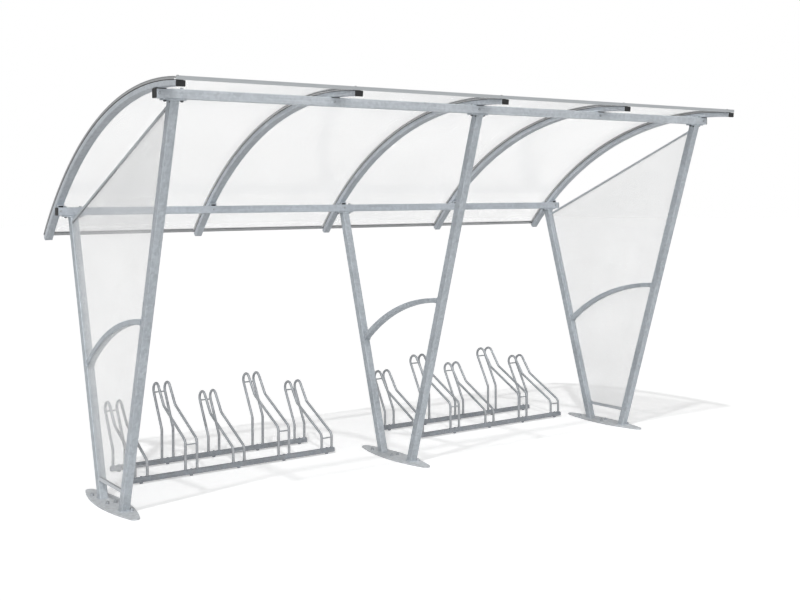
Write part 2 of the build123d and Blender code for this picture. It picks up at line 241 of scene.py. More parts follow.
def feed(tree, node, **values):
    # Fills the node's sockets by name, where an underscore stands for a space
    for socketName, value in values.items():
        setSocket(tree, node.inputs[socketName.replace("_", " ")], value)
    return node


def newNode(tree, kind, **values):
    return feed(tree, tree.nodes.new("ShaderNode" + kind), **values)


def mathNode(tree, operation, *values, kind="Math"):
    node = newNode(tree, kind)
    node.operation = operation
    for socket, value in zip(node.inputs, values):
        setSocket(tree, socket, value)
    return node.outputs[0]


def vectorNode(tree, operation, *values):
    return mathNode(tree, operation, *values, kind="VectorMath")


def timesPlus(tree, value, factor, added):
    return mathNode(tree, "MULTIPLY_ADD", value, factor, added)


def rangeNode(tree, value, fromLow, fromHigh, toLow, toHigh, smooth=False):
    node = newNode(tree, "MapRange")
    node.interpolation_type = "SMOOTHSTEP" if smooth else "LINEAR"
    feed(tree, node, Value=value, From_Min=fromLow, From_Max=fromHigh, To_Min=toLow, To_Max=toHigh)
    return node.outputs["Result"]


def mixColour(tree, share, first, second):
    node = newNode(tree, "Mix")
    node.data_type = "RGBA"
    for socket, value in ((node.inputs["Factor"], share), (node.inputs[6], first), (node.inputs[7], second)):
        setSocket(tree, socket, value)
    return node.outputs[2]


def noiseNode(tree, vector, scale, detail=3.0, roughness=0.55):
    node = newNode(tree, "TexNoise", Vector=vector, Scale=scale, Detail=detail, Roughness=roughness)
    return node.outputs["Fac"]


def axesOf(tree, vector):
    return newNode(tree, "SeparateXYZ", Vector=vector).outputs


# How far each pattern moves the tone of a zinc coat, and how fine it is
zincPattern = {
    "cells": 0.34, "clouds": 0.9, "runs": 0.8, "fine": 0.16, "cloudScale": 3.2, "fineScale": 420.0,
    "wander": 0.012, "wanderScale": 90.0, "roughness": 0.36, "roughSpread": 0.16,
}


def zincGroup():
    # Spangle cells, clouding and run marks of a dipped zinc coat
    pattern = zincPattern
    group, given, made = newGroup(
        "zincCoat",
        [
            ("Vector", "Vector", None), ("Light", "Color", (0.5, 0.5, 0.5, 1)),
            ("Dark", "Color", (0.3, 0.3, 0.3, 1)), ("Spangle Scale", "Float", 70.0),
            ("Run Stretch", "Vector", (90.0, 90.0, 2.2)), ("Contrast", "Float", 1.0),
        ],
        [("Color", "Color"), ("Roughness", "Float"), ("Height", "Float")],
    )
    vector = given["Vector"]
    wander = newNode(group, "TexNoise", Vector=vector, Scale=pattern["wanderScale"])
    bent = vectorNode(group, "MULTIPLY_ADD", wander.outputs["Color"], (pattern["wander"],) * 3, vector)
    cells = newNode(group, "TexVoronoi", Vector=bent, Scale=given["Spangle Scale"])
    cellTone = newNode(group, "SeparateColor", Color=cells.outputs["Color"])
    clouds = noiseNode(group, vector, pattern["cloudScale"], 4.0, 0.6)
    drawnOut = vectorNode(group, "MULTIPLY", vector, given["Run Stretch"])
    runs = noiseNode(group, drawnOut, 1.0, 3.0, 0.6)
    fine = noiseNode(group, vector, pattern["fineScale"], 2.0)
    tone = timesPlus(group, cellTone.outputs[0], pattern["cells"], 0.5 - pattern["cells"] / 2)
    for noise, share in ((clouds, pattern["clouds"]), (runs, pattern["runs"]), (fine, pattern["fine"])):
        tone = mathNode(group, "ADD", tone, timesPlus(group, noise, share, -share / 2))
    tone = timesPlus(group, mathNode(group, "SUBTRACT", tone, 0.5), given["Contrast"], 0.5)
    tone = mathNode(group, "MINIMUM", mathNode(group, "MAXIMUM", tone, 0.0), 1.0)
    colour = mixColour(group, tone, given["Dark"], given["Light"])
    rough = timesPlus(group, cellTone.outputs[1], pattern["roughSpread"], pattern["roughness"])
    rough = timesPlus(group, clouds, pattern["roughSpread"], rough)
    rise = mathNode(group, "MULTIPLY", fine, 0.5)
    rise = timesPlus(group, cells.outputs["Distance"], 0.25, rise)
    rise = timesPlus(group, runs, 0.8, rise)
    feed(group, made, Color=colour, Roughness=rough, Height=rise)
    return group


def groundDustGroup():
    # A share that rises towards the ground, broken up by noise
    group, given, made = newGroup(
        "groundDust",
        [("Vector", "Vector", None), ("Reach", "Float", 0.3), ("Strength", "Float", 0.4)],
        [("Mask", "Float")],
    )
    height = axesOf(group, given["Vector"])["Z"]
    spots = noiseNode(group, given["Vector"], 28.0, 5.0, 0.65)
    low = rangeNode(group, height, 0.0, given["Reach"], 1.0, 0.0, smooth=True)
    patch = rangeNode(group, spots, 0.35, 0.7, 0.0, 1.0, smooth=True)
    mask = mathNode(group, "MULTIPLY", low, timesPlus(group, patch, 0.7, 0.3))
    feed(group, made, Mask=mathNode(group, "MULTIPLY", mask, given["Strength"]))
    return group


def fluteGroup():
    # Walls between the flutes of a twin-wall sheet: a thin line every Spacing along Across
    group, given, made = newGroup(
        "fluteLines",
        [("Across", "Float", 0.0), ("Spacing", "Float", 0.0105), ("Wall", "Float", 0.14)],
        [("Mask", "Float"), ("Height", "Float")],
    )
    steps = mathNode(group, "DIVIDE", given["Across"], given["Spacing"])
    share = mathNode(group, "ABSOLUTE", mathNode(group, "SUBTRACT", mathNode(group, "FRACT", steps), 0.5))
    fromWall = mathNode(group, "SUBTRACT", 0.5, share)
    mask = rangeNode(group, fromWall, 0.0, given["Wall"], 1.0, 0.0, smooth=True)
    swell = mathNode(group, "COSINE", mathNode(group, "MULTIPLY", steps, 2 * math.pi))
    feed(group, made, Mask=mask, Height=timesPlus(group, swell, 0.5, 0.5))
    return group


def drawnLinesGroup():
    # Fine lines that an extruding die leaves: noise stretched along the bar
    group, given, made = newGroup(
        "drawnLines", [("Vector", "Vector", None)], [("Value", "Float"), ("Height", "Float")]
    )
    lines = noiseNode(group, given["Vector"], 1.0, 3.0, 0.6)
    broad = noiseNode(group, given["Vector"], 0.13, 2.0, 0.5)
    value = timesPlus(group, lines, 0.6, mathNode(group, "MULTIPLY", broad, 0.4))
    feed(group, made, Value=value, Height=lines)
    return group


zincCoat = zincGroup()
groundDust = groundDustGroup()
fluteLines = fluteGroup()
drawnLines = drawnLinesGroup()
print("shader groups built")


# Materials

def newMaterial(name):
    material = bpy.data.materials.new(name)
    material.use_nodes = True
    tree = material.node_tree
    shader = tree.nodes["Principled BSDF"]
    place = newNode(tree, "TexCoord").outputs["Object"]
    return material, tree, shader, place


def addGroup(tree, group, **values):
    node = newNode(tree, "Group")
    node.node_tree = group
    return feed(tree, node, **values).outputs


def addBump(tree, shader, height, strength, distance):
    bump = newNode(tree, "Bump", Strength=strength, Distance=distance, Height=height)
    feed(tree, shader, Normal=bump.outputs["Normal"])


zincTones = {
    "frame": {"light": (0.61, 0.657, 0.70, 1), "dark": (0.43, 0.468, 0.505, 1), "metallic": 0.45},
    # painted light: the front beam's tone is the frame's zinc made lighter, for the light it gets out in the
    # open
    "front": {"light": (0.74, 0.785, 0.83, 1), "dark": (0.55, 0.59, 0.63, 1), "metallic": 0.45},
    # painted shade: the rear beam's tone is the frame's zinc made darker, for the roof's shade over it
    "rear": {"light": (0.66, 0.71, 0.765, 1), "dark": (0.48, 0.52, 0.565, 1), "metallic": 0.45},
    # painted light: the rafters' tone is the frame's zinc made lighter and less metallic, for the light the
    # lit roof sheets throw on their sides
    "arch": {"light": (0.80, 0.85, 0.90, 1), "dark": (0.59, 0.632, 0.68, 1), "metallic": 0.12},
    # painted light: the base plates' tone is the frame's zinc made lighter, for the light falling on their
    # tops
    "plate": {"light": (0.76, 0.79, 0.82, 1), "dark": (0.57, 0.595, 0.62, 1), "metallic": 0.35},
    "rail": {
        "light": (0.40, 0.43, 0.47, 1), "dark": (0.25, 0.272, 0.30, 1), "spangle": 110.0, "metallic": 0.4,
    },
    "hoop": {
        "light": (0.54, 0.56, 0.585, 1), "dark": (0.34, 0.355, 0.375, 1), "spangle": 130.0, "metallic": 0.6,
    },
    "bolt": {
        "light": (0.58, 0.61, 0.64, 1), "dark": (0.36, 0.385, 0.41, 1), "spangle": 300.0, "metallic": 0.55,
    },
    "nut": {
        "light": (0.20, 0.21, 0.22, 1), "dark": (0.11, 0.115, 0.12, 1), "spangle": 300.0, "metallic": 0.55,
    },
}
zincRuns = {  # run marks are long where a number is small
    "upright": (90.0, 90.0, 2.2), "along": (2.2, 90.0, 90.0),
    "arched": (90.0, 5.0, 5.0), "flat": (30.0, 30.0, 30.0),
}
zincWear = {
    "spangle": 70.0, "contrast": 1.5, "bump": 0.35, "bumpDepth": 0.0006,
    "dustReach": 0.22, "dustStrength": 0.22, "dustColour": (0.36, 0.345, 0.32, 1),
}
zincUses = {
    "legZinc": ("frame", "upright"),
    "litFrontZinc": ("front", "along"),
    "shadedRearZinc": ("rear", "along"),
    "litArchZinc": ("arch", "arched"),
    "litPlateZinc": ("plate", "flat"),
    "railZinc": ("rail", "along"),
    "hoopZinc": ("hoop", "upright"),
    "boltZinc": ("bolt", "flat"),
    "nutZinc": ("nut", "flat"),
    "weldZinc": ("frame", "flat"),
}


def makeZinc(name, runs, light, dark, metallic, spangle=zincWear["spangle"]):
    # Zinc between two tones, with dust near the ground
    material, tree, shader, place = newMaterial(name)
    coat = addGroup(
        tree, zincCoat, Vector=place, Light=light, Dark=dark, Spangle_Scale=spangle, Run_Stretch=runs,
        Contrast=zincWear["contrast"],
    )
    reach, strength = zincWear["dustReach"], zincWear["dustStrength"]
    dust = addGroup(tree, groundDust, Vector=place, Reach=reach, Strength=strength)
    colour = mixColour(tree, dust["Mask"], coat["Color"], zincWear["dustColour"])
    rough = timesPlus(tree, dust["Mask"], 0.3, coat["Roughness"])
    feed(tree, shader, Base_Color=colour, Roughness=rough, Metallic=metallic)
    addBump(tree, shader, coat["Height"], zincWear["bump"], zincWear["bumpDepth"])
    return material


zinc = {name: makeZinc(name, zincRuns[runs], **zincTones[tone]) for name, (tone, runs) in zincUses.items()}

# Extruded bars: their drawn lines run where lines is small
barLooks = {
    "stripBar": {
        "light": (0.76, 0.78, 0.80, 1), "dark": (0.60, 0.62, 0.64, 1),
        "metallic": 0.5, "lines": (700.0, 1.5, 1.5),
    },
    "fasciaBar": {
        "light": (0.62, 0.65, 0.67, 1), "dark": (0.48, 0.505, 0.525, 1),
        "metallic": 0.4, "lines": (1.5, 700.0, 700.0),
    },
    "eaveBar": {
        "light": (0.56, 0.57, 0.58, 1), "dark": (0.43, 0.44, 0.45, 1),
        "metallic": 0.4, "lines": (1.5, 700.0, 700.0),
    },
    "panelTopBar": {
        "light": (0.70, 0.735, 0.77, 1), "dark": (0.54, 0.57, 0.60, 1),
        "metallic": 0.35, "lines": (700.0, 1.5, 1.5),
    },
    "panelFootBar": {
        "light": (0.66, 0.69, 0.72, 1), "dark": (0.50, 0.52, 0.545, 1),
        "metallic": 0.4, "lines": (700.0, 1.5, 700.0),
    },
}


def makeBar(name, light, dark, metallic, lines):
    # Broad stains and drawn lines between two tones, rougher where lighter
    material, tree, shader, place = newMaterial(name)
    drawn = addGroup(tree, drawnLines, Vector=vectorNode(tree, "MULTIPLY", place, lines))
    stains = noiseNode(tree, place, 6.0, 4.0, 0.6)
    lined = mathNode(tree, "MULTIPLY", drawn["Value"], 0.5)
    tone = timesPlus(tree, stains, 0.5, lined)
    rough = timesPlus(tree, tone, 0.2, 0.25)
    feed(tree, shader, Base_Color=mixColour(tree, tone, dark, light), Roughness=rough, Metallic=metallic)
    addBump(tree, shader, drawn["Height"], 0.2, 0.0002)
    return material


bar = {name: makeBar(name, **look) for name, look in barLooks.items()}

sheetLooks = {
    "roofSheet": {
        "wallColour": (0.86, 0.87, 0.88, 1), "openAlpha": 0.20, "wallAlpha": 0.38,
        "transmission": 0.9, "roughness": 0.18, "acrossAxis": "X",
    },
    "panelSheet": {
        "wallColour": (0.88, 0.89, 0.90, 1), "openAlpha": 0.26, "wallAlpha": 0.42,
        "transmission": 0.45, "roughness": 0.22, "acrossAxis": "Y",
    },
}
anySheet = {
    "colour": (0.97, 0.98, 0.985, 1), "spacing": 0.0105, "specular": 0.15, "bend": 1.45,
    "soilColour": (0.6, 0.6, 0.57, 1), "soil": 0.08, "haze": 0.08,
}


def makeSheet(name, wallColour, openAlpha, wallAlpha, transmission, roughness, acrossAxis):
    # See-through twin-wall sheet, cloudier on the walls between its flutes
    material, tree, shader, place = newMaterial(name)
    across = axesOf(tree, place)[acrossAxis]
    flutes = addGroup(tree, fluteLines, Across=across, Spacing=anySheet["spacing"])
    haze = noiseNode(tree, place, 2.2, 4.0, 0.6)
    specks = noiseNode(tree, place, 160.0, 3.0, 0.7)
    soil = rangeNode(tree, specks, 0.62, 0.8, 0.0, anySheet["soil"], smooth=True)
    clear = mixColour(tree, flutes["Mask"], anySheet["colour"], wallColour)
    colour = mixColour(tree, soil, clear, anySheet["soilColour"])
    solid = rangeNode(tree, flutes["Mask"], 0.0, 1.0, openAlpha, wallAlpha)
    cloud = timesPlus(tree, haze, anySheet["haze"], -anySheet["haze"] / 2)
    solid = mathNode(tree, "ADD", solid, cloud)
    rough = timesPlus(tree, haze, 0.06, roughness)
    feed(tree, shader, Base_Color=colour, Alpha=mathNode(tree, "ADD", solid, soil), Roughness=rough)
    feed(tree, shader, Transmission_Weight=transmission, IOR=anySheet["bend"])
    feed(tree, shader, Specular_IOR_Level=anySheet["specular"])
    addBump(tree, shader, flutes["Height"], 0.2, 0.0005)
    return material


sheet = {name: makeSheet(name, **look) for name, look in sheetLooks.items()}


def makeBlack(name, colour, paleColour, roughness, grainScale, bumpDistance):
    # Moulded or pressed black with fine grain, chalky where the weather has paled it
    material, tree, shader, place = newMaterial(name)
    weather = noiseNode(tree, place, 9.0, 5.0, 0.6)
    grain = noiseNode(tree, place, grainScale, 2.0)
    pale = rangeNode(tree, weather, 0.4, 0.75, 0.0, 0.6, smooth=True)
    rough = timesPlus(tree, pale, 0.25, roughness)
    rough = timesPlus(tree, grain, 0.1, rough)
    feed(tree, shader, Base_Color=mixColour(tree, pale, colour, paleColour), Roughness=rough)
    addBump(tree, shader, grain, 0.3, bumpDistance)
    return material


blackLooks = {
    "blackPlastic": {
        "colour": (0.011, 0.012, 0.013, 1), "paleColour": (0.028, 0.029, 0.03, 1),
        "roughness": 0.45, "grainScale": 900.0, "bumpDistance": 0.0004,
    },
    "blackRubber": {
        "colour": (0.014, 0.014, 0.014, 1), "paleColour": (0.034, 0.033, 0.032, 1),
        "roughness": 0.65, "grainScale": 600.0, "bumpDistance": 0.0003,
    },
}
blackPlastic, blackRubber = (makeBlack(name, **look) for name, look in blackLooks.items())

gasketLook = {
    "black": (0.050, 0.051, 0.053, 1), "lip": (0.30, 0.305, 0.31, 1), "split": 0.010,
    "chalk": (0.4, 0.4, 0.39, 1), "chalkShare": 0.08,
}


def makeGasket():
    # Black under the sheets and grey in the lips on them, told apart by the distance from the roof's centre
    # line: the root of y squared plus z squared
    material, tree, shader, place = newMaterial("glazingGasket")
    axes = axesOf(tree, place)
    y = mathNode(tree, "SUBTRACT", axes["Y"], float(roofY))
    z = mathNode(tree, "SUBTRACT", axes["Z"], float(roofZ))
    squares = [mathNode(tree, "POWER", side, 2.0) for side in (y, z)]
    reach = mathNode(tree, "SQRT", mathNode(tree, "ADD", *squares))
    above = mathNode(tree, "GREATER_THAN", reach, float(stripRadius) - gasketLook["split"])
    weather = noiseNode(tree, place, 12.0, 5.0, 0.6)
    grain = noiseNode(tree, place, 600.0, 2.0)
    colour = mixColour(tree, above, gasketLook["black"], gasketLook["lip"])
    pale = rangeNode(tree, weather, 0.4, 0.75, 0.0, gasketLook["chalkShare"], smooth=True)
    colour = mixColour(tree, pale, colour, gasketLook["chalk"])
    feed(tree, shader, Base_Color=colour, Roughness=timesPlus(tree, weather, 0.2, 0.5))
    addBump(tree, shader, grain, 0.3, 0.0003)
    return material


saddleLook = {
    "padHeight": 0.010, "padHalf": 0.016, "padColour": (0.014, 0.014, 0.015, 1), "padRoughness": 0.65,
}


def makeSaddle():
    # A black pad on the beam and a zinc packer over and beside it, told apart by height and by the distance
    # from the rafter's centre line
    material, tree, shader, place = newMaterial("saddlePad")
    axes = axesOf(tree, place)
    low = mathNode(tree, "LESS_THAN", axes["Z"], float(rearBeam[1][2]) + saddleLook["padHeight"])
    fromRafter = mathNode(tree, "PINGPONG", mathNode(tree, "ABSOLUTE", axes["X"]), rafterStep / 2)
    pad = mathNode(tree, "MULTIPLY", low, mathNode(tree, "LESS_THAN", fromRafter, saddleLook["padHalf"]))
    tone = zincTones["frame"]
    coat = addGroup(
        tree, zincCoat, Vector=place, Light=tone["light"], Dark=tone["dark"], Run_Stretch=zincRuns["flat"]
    )
    colour = mixColour(tree, pad, coat["Color"], saddleLook["padColour"])
    rough = rangeNode(tree, pad, 0.0, 1.0, coat["Roughness"], saddleLook["padRoughness"])
    shine = rangeNode(tree, pad, 0.0, 1.0, tone["metallic"], 0.0)
    feed(tree, shader, Base_Color=colour, Roughness=rough, Metallic=shine)
    addBump(tree, shader, coat["Height"], 0.3, 0.0004)
    return material


finishOf = {
    "aluminium": bar["fasciaBar"],
    "clear_sheet": sheet["panelSheet"],
    "black_plastic": blackPlastic,
    "black_rubber": makeGasket(),
    "galvanised": zinc["legZinc"],
}
ownFinish = [  # by the start of the node's name, the first that fits
    ("base_plate", zinc["litPlateZinc"]),
    ("front_beam", zinc["litFrontZinc"]),
    ("rear_beam", zinc["shadedRearZinc"]),
    ("rafter_saddles", makeSaddle()),
    ("rafter_end_caps", blackPlastic),
    ("rafter", zinc["litArchZinc"]),
    ("left_rack_rails", zinc["railZinc"]),
    ("right_rack_rails", zinc["railZinc"]),
    ("left_rack", zinc["hoopZinc"]),
    ("right_rack", zinc["hoopZinc"]),
    ("rack_cross", zinc["hoopZinc"]),
    ("roof_sheet", sheet["roofSheet"]),
    ("glazing_strips", bar["stripBar"]),
    ("eave_trim", bar["eaveBar"]),
    ("panel_trim", bar["panelTopBar"]),
    ("panel_rail", bar["panelFootBar"]),
]
for part in frame["record"]["subparts"]:
    name = part["node"]
    own = [finish for start, finish in ownFinish if name.startswith(start)]
    finish = own[0] if own else finishOf[part["material_slot"]]
    for materialSlot in nodes[name].material_slots:
        materialSlot.material = finish
print("finishes placed on the packed nodes")


# Bolts, nuts and studs

hexHead = {"corner": 0.0086, "height": 0.0075, "washer": 0.0088, "washerHeight": 0.0012}
headNut = {
    "corner": 0.0090, "height": 0.0052, "washer": 0.0095, "washerHeight": 0.001,
    "stud": 0.005, "above": 0.002, "pitch": 0.0015,
}
anchorNut = {
    "corner": 0.0105, "height": 0.009, "washer": 0.012, "washerHeight": 0.0025,
    "stud": 0.006, "above": 0.006, "pitch": 0.00175,
}
smallHead = {"corner": 0.0075, "height": 0.0053, "washer": 0.008, "washerHeight": 0.0016}
stripScrew = {"corner": 0.0060, "height": 0.0055, "washer": 0.0085, "washerHeight": 0.0015, "fromEnd": 0.014}


def headGrid(size):
    # Washer, six-sided head and its round chamfer, closed at both poles
    washer, corner = size["washer"], size["corner"]
    low = size["washerHeight"]
    high = low + size["height"]
    chamfer = corner * 0.12
    return turnedGrid([
        (0, 0, 0), (washer, 0, 0), (washer, low * 0.8, 0), (washer * 0.97, low, 0), (corner, low, 1),
        (corner, high - chamfer, 1), (corner * 0.9, high - chamfer * 0.2, 0.25), (corner * 0.84, high, 0),
        (0, high, 0),
    ])


def nutGrids(size):
    # A nut on its washer, and the threaded stud that stands out of it
    washer, corner, stud, pitch = size["washer"], size["corner"], size["stud"], size["pitch"]
    low = size["washerHeight"]
    high = low + size["height"]
    chamfer = corner * 0.1
    nut = turnedGrid([
        (0, 0, 0), (washer, 0, 0), (washer, low * 0.8, 0), (washer * 0.97, low, 0), (corner * 0.9, low, 0.2),
        (corner, low + chamfer, 1), (corner, high - chamfer, 1), (corner * 0.9, high, 0.2),
        (stud * 1.15, high, 0), (stud * 0.9, high - chamfer, 0), (0, high - chamfer, 0),
    ])
    return nut, threadGrid(stud, pitch * 0.4, pitch, low, high + size["above"])


headBolt = {"fromFrame": 0.047, "turn": 0.4}
boltX = np.concatenate([frameX - headBolt["fromFrame"], frameX + headBolt["fromFrame"]])
boltTurned = (math.cos(headBolt["turn"]), math.sin(headBolt["turn"]), 0)


def boltPoints(which, rise):
    # Two bolts beside each frame, at a height above the beam's underside
    z = beamUnderside[which] + rise
    return np.stack([boltX, np.full_like(boltX, beamY[which]), np.full_like(boltX, z)], 1)


beamTops = np.concatenate([boltPoints(which, tubeSize) for which in beamY])
plateUndersides = np.concatenate([boltPoints(which, -headThickness) for which in beamY])
makePiece("head_plate_bolts", [placeCopies(headGrid(hexHead), beamTops, up, boltTurned)], zinc["boltZinc"])
headNuts = [placeCopies(grid, plateUndersides, -up, boltTurned) for grid in nutGrids(headNut)]
makePiece("head_plate_nuts", headNuts, zinc["nutZinc"])

anchorHoles = [(-0.035, 0.220), (0.035, -0.220), (-0.024, 0), (0.024, 0)]  # in each base plate
anchorPoints = np.array([(x + across, y, plateTop) for x in frameX for across, y in anchorHoles])
anchorTurns = np.random.default_rng(7).uniform(0, math.pi, len(anchorPoints))
anchorX = np.stack([np.cos(anchorTurns), np.sin(anchorTurns), np.zeros_like(anchorTurns)], 1)
anchorNuts = [placeCopies(grid, anchorPoints, up, anchorX) for grid in nutGrids(anchorNut)]
makePiece("anchor_nuts", anchorNuts, zinc["boltZinc"])

# A small head at each rafter on the front faces of both beams, a little to its left
rafterBolt = {"left": 0.010, "frontHeight": 0.025, "rearHeight": 0.028, "frontTurn": 0.3, "rearTurn": 0.2}


def rafterHeads(beam, height, turn):
    x = rafterX - rafterBolt["left"]
    points = np.stack([x, np.full_like(x, beam[0][1]), np.full_like(x, beam[0][2] + height)], 1)
    return placeCopies(headGrid(smallHead), points, (0, -1, 0), (1, 0, turn))


smallHeads = [
    rafterHeads(frontBeam, rafterBolt["frontHeight"], rafterBolt["frontTurn"]),
    rafterHeads(rearBeam, rafterBolt["rearHeight"], rafterBolt["rearTurn"]),
]
makePiece("rafter_bolts", smallHeads, zinc["boltZinc"])


def stripPlaces(angle):
    # Points on top of each strip at this angle of the arc, and the direction out of it
    out = np.array([0, math.cos(angle), math.sin(angle)])
    return np.array([(x, roofY, roofZ) for x in rafterX]) + out * stripRadius, out


screwAngle = stripScrew["fromEnd"] / stripRadius
screwGrids = []
for angle in (stripFront - screwAngle, stripRear + screwAngle):
    places, out = stripPlaces(angle)
    screwGrids.append(placeCopies(headGrid(stripScrew), places, out, alongX))
makePiece("strip_screws", screwGrids, zinc["nutZinc"])

# Rack anchors: a domed bolt on each rail between the two rods of every holder
rackBolt = {"radius": 0.0085, "height": 0.0055, "washer": 0.011, "washerHeight": 0.0015, "socket": 0.0032}
rack = {"spacing": 0.337, "holders": 5, "railHalf": 0.015}
holderSteps = np.arange(rack["holders"]) - (rack["holders"] - 1) / 2
railPoints, holderX = [], []
for side in ("left", "right"):
    low, high = corners(f"{side}_rack_rails")
    for x in (low[0] + high[0]) / 2 + holderSteps * rack["spacing"]:
        holderX.append(x)
        railPoints += [(x, low[1] + rack["railHalf"], high[2]), (x, high[1] - rack["railHalf"], high[2])]
railPoints, holderX = np.array(railPoints), np.array(holderX)


def domeGrid(size):
    # Washer and domed head: the dome's radius falls as a cosine and its height rises as a sine, down to the
    # six-sided socket in its top
    washer, radius, socket = size["washer"], size["radius"], size["socket"]
    low, high = size["washerHeight"], size["washerHeight"] + size["height"]
    rings = [(0, 0, 0), (washer, 0, 0), (washer, low * 0.8, 0), (washer * 0.96, low, 0), (radius, low, 0)]
    for turn in np.linspace(0.1, 1.15, 6):
        rings.append((radius * math.cos(turn), low + size["height"] * math.sin(turn), 0))
    deep = low + size["height"] * 0.45
    rings += [(socket, high * 0.96, 1), (socket, deep, 1), (0, deep, 0)]
    return turnedGrid(rings)


rackBolts = [placeCopies(domeGrid(rackBolt), railPoints, up, (0.8, 0.6, 0))]
makePiece("rack_anchor_bolts", rackBolts, zinc["railZinc"])
print("bolts, nuts and screws made")


# White tape along the sides of the roof sheets, turned down over the gaskets' edges

tape = {
    "out": 0.038, "thickness": 0.0003, "gap": 0.0001, "fold": 0.0026, "lightReach": 0.004,
    "sheetUnder": 0.015, "sheetOver": 0.005, "drawn": (400.0, 3.0, 3.0),
}
tapeTones = {
    "white": ((0.96, 0.96, 0.96, 1), (0.88, 0.885, 0.89, 1)),
    "grey": ((0.60, 0.61, 0.62, 1), (0.48, 0.49, 0.50, 1)),
}
sheetUnder, sheetOver = stripRadius - tape["sheetUnder"], stripRadius - tape["sheetOver"]


def arcBar(xLow, xHigh, reachLow, reachHigh, steps=90):
    # The four corners of a flat bar at two distances from the roof's centre line, carried along the arc as
    # distance times cosine and sine of the angle; both ends are drawn in to their middles
    angles = np.linspace(stripRear, stripFront, steps)[:, None]
    x = np.array([xLow, xHigh, xHigh, xLow])
    distance = np.array([reachLow, reachLow, reachHigh, reachHigh])
    y = roofY + distance * np.cos(angles)
    z = roofZ + distance * np.sin(angles)
    grid = np.stack([np.broadcast_to(x, y.shape), y, z], -1)
    first, last = (np.broadcast_to(grid[end].mean(0), (1, 4, 3)) for end in (0, -1))
    return np.concatenate([first, grid, last])


underTape = sheetUnder - tape["gap"] - tape["thickness"]
underGrids, endGrids = [], []
for x in rafterX:
    for way in (-1, 1):
        near, far = x + way * (rafterHalf + tape["gap"]), x + way * tape["out"]
        side = sorted((near, near + way * tape["thickness"]))
        if abs(far) > rafterX[-1] + rafterHalf:
            endGrids.append(arcBar(*side, sheetUnder + tape["gap"], sheetOver - tape["gap"]))
        else:
            underGrids.append(arcBar(*sorted((near, far)), underTape, sheetUnder - tape["gap"]))
            underGrids.append(arcBar(*side, underTape - tape["fold"], underTape - tape["gap"]))
whiteTape = makeBar("whiteTape", *tapeTones["white"], 0.0, tape["drawn"])
greyTape = makeBar("greyTape", *tapeTones["grey"], 0.2, tape["drawn"])
tapeTree = whiteTape.node_tree
tapeShader = tapeTree.nodes["Principled BSDF"]  # thin enough to let the light above it through
feed(tapeTree, tapeShader, Subsurface_Weight=1.0, Subsurface_Radius=(1, 1, 1))
feed(tapeTree, tapeShader, Subsurface_Scale=tape["lightReach"])
makePiece("sheet_side_tapes", underGrids, whiteTape)
makePiece("sheet_end_tapes", endGrids, greyTape)
print("tapes made")


# Wheel holders: round rods bent as the solids are, but smooth

hoop = {  # top holds the upper corners as (y, z), and a knee is the height of the bend over a rail
    "radius": 0.009, "spacing": 0.080, "lift": 0.090, "bend": 0.043,
    "rearKnee": 0.145, "top": [(0.866, 0.410), (0.789, 0.453), (0.680, 0.307)], "frontKnee": 0.136,
}
railTop = corners("left_rack_rails")[1][2]
railY = sorted(set(np.round(railPoints[:, 1], 6)))


def bentPath(points, radius, steps=10):
    # Straight runs joined by arcs: along an arc the place is the arc's start plus radius times the change of
    # the sine and of minus the cosine of the heading
    points = np.array(points, float)
    runs = np.diff(points, axis=0)
    headings = np.arctan2(runs[:, 1], runs[:, 0])
    path, along = [points[0]], [headings[0]]
    for corner, before, after in zip(points[1:-1], headings, headings[1:]):
        turn = (after - before + math.pi) % (2 * math.pi) - math.pi
        reach = radius * math.tan(abs(turn) / 2)
        start = corner - reach * np.array([math.cos(before), math.sin(before)])
        for heading in before + turn * np.linspace(0, 1, steps):
            shift = np.array([math.sin(heading) - math.sin(before), math.cos(before) - math.cos(heading)])
            path.append(start + math.copysign(radius, turn) * shift)
            along.append(heading)
    path.append(points[-1])
    along.append(headings[-1])
    return np.array(path), np.array(along)


def rodGrid(path, headings, radius, sides=16):
    # A circle, cosine across the path and sine along X, carried along a path in the YZ plane; both ends are
    # drawn in to a point
    path = np.concatenate([path[:1], path, path[-1:]])
    headings = np.concatenate([headings[:1], headings, headings[-1:]])[:, None]
    size = np.full((len(path), 1), radius)
    size[[0, -1]] = 0
    turn = np.arange(sides) * 2 * math.pi / sides
    across = size * np.cos(turn)
    y = path[:, :1] - across * np.sin(headings)
    z = path[:, 1:] + across * np.cos(headings)
    return np.stack([size * np.sin(turn), y, z], -1)


def hoopGrid(lift):
    # Up from the rear rail, over the top and down to the front rail: every corner above the rails is raised
    points = [(railY[1], hoop["rearKnee"]), *hoop["top"], (railY[0], hoop["frontKnee"])]
    points = [(railY[1], railTop)] + [(y, z + lift) for y, z in points] + [(railY[0], railTop)]
    return rodGrid(*bentPath(points, hoop["bend"]), hoop["radius"])


holderLift = np.tile(hoop["lift"] * (np.arange(rack["holders"]) % 2), 2)  # low and high in turn
hoopGrids = []
for lift in (0.0, hoop["lift"]):
    places = holderX[holderLift == lift]
    offsets = np.concatenate([places - hoop["spacing"] / 2, places + hoop["spacing"] / 2])[:, None] * alongX
    hoopGrids.append(hoopGrid(lift)[None] + offsets[:, None, None, :])
smoothHoops = makePiece("bent_hoops", hoopGrids, zinc["hoopZinc"], sharpAngle=50)
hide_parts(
    "left_rack_low_hoops", "left_rack_high_hoops", "right_rack_low_hoops", "right_rack_high_hoops",
)

